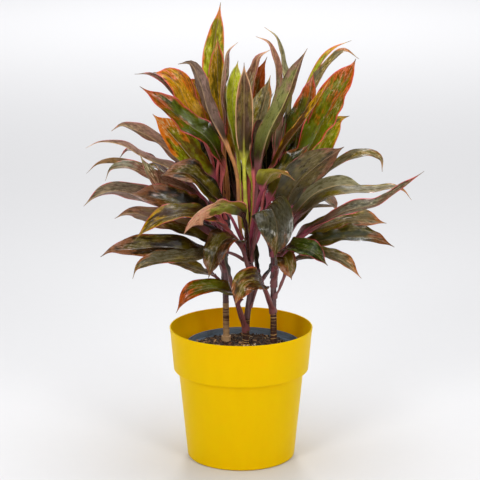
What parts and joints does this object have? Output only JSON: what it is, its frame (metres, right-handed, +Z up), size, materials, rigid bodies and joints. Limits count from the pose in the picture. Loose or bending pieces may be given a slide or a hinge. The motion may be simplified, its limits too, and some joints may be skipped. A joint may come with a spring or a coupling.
{
  "type": "potted ti plant",
  "caption": "House plant with three ringed canes and long bronze, olive and pink-edged leaves, in a round yellow collar planter.",
  "frame": {"origin": "centre of the planter's underside, on the surface it stands on", "axes": "+Z up along the planter's axis, -Y towards the front view, +X to the right in that view"},
  "size_m": [0.575, 0.416, 0.79],
  "materials": {
    "cachepot": "satin moulded",
    "nursery_pot": "matte moulded",
    "soil": "loose bark and peat mix",
    "stem": "ringed bark",
    "leaf": "waxy leaf"
  },
  "bodies": {
    "root": {"cachepot": "cachepot", "nursery_pot": "nursery_pot", "soil": "soil", "stem_left": "stem", "stem_middle": "stem", "stem_right": "stem", "leaf_left_01": "leaf", "leaf_left_02": "leaf", "leaf_left_03": "leaf", "leaf_left_04": "leaf", "leaf_left_05": "leaf", "leaf_left_06": "leaf", "leaf_left_07": "leaf", "leaf_left_08": "leaf", "leaf_left_09": "leaf", "leaf_left_10": "leaf", "leaf_left_11": "leaf", "leaf_left_12": "leaf", "leaf_left_13": "leaf", "leaf_left_14": "leaf", "leaf_left_15": "leaf", "leaf_left_16": "leaf", "leaf_left_17": "leaf", "leaf_left_18": "leaf", "leaf_middle_01": "leaf", "leaf_middle_02": "leaf", "leaf_middle_03": "leaf", "leaf_middle_04": "leaf", "leaf_middle_05": "leaf", "leaf_middle_06": "leaf", "leaf_middle_07": "leaf", "leaf_middle_08": "leaf", "leaf_middle_09": "leaf", "leaf_middle_10": "leaf", "leaf_middle_11": "leaf", "leaf_middle_12": "leaf", "leaf_middle_13": "leaf", "leaf_middle_14": "leaf", "leaf_middle_15": "leaf", "leaf_middle_16": "leaf", "leaf_middle_17": "leaf", "leaf_right_01": "leaf", "leaf_right_02": "leaf", "leaf_right_03": "leaf", "leaf_right_04": "leaf", "leaf_right_05": "leaf", "leaf_right_06": "leaf", "leaf_right_07": "leaf", "leaf_right_08": "leaf", "leaf_right_09": "leaf", "leaf_right_10": "leaf", "leaf_right_11": "leaf", "leaf_right_12": "leaf", "leaf_right_13": "leaf", "leaf_right_14": "leaf", "leaf_right_15": "leaf", "leaf_right_16": "leaf", "leaf_right_17": "leaf", "leaf_right_18": "leaf", "leaf_right_19": "leaf"}
  },
  "joints": []
}
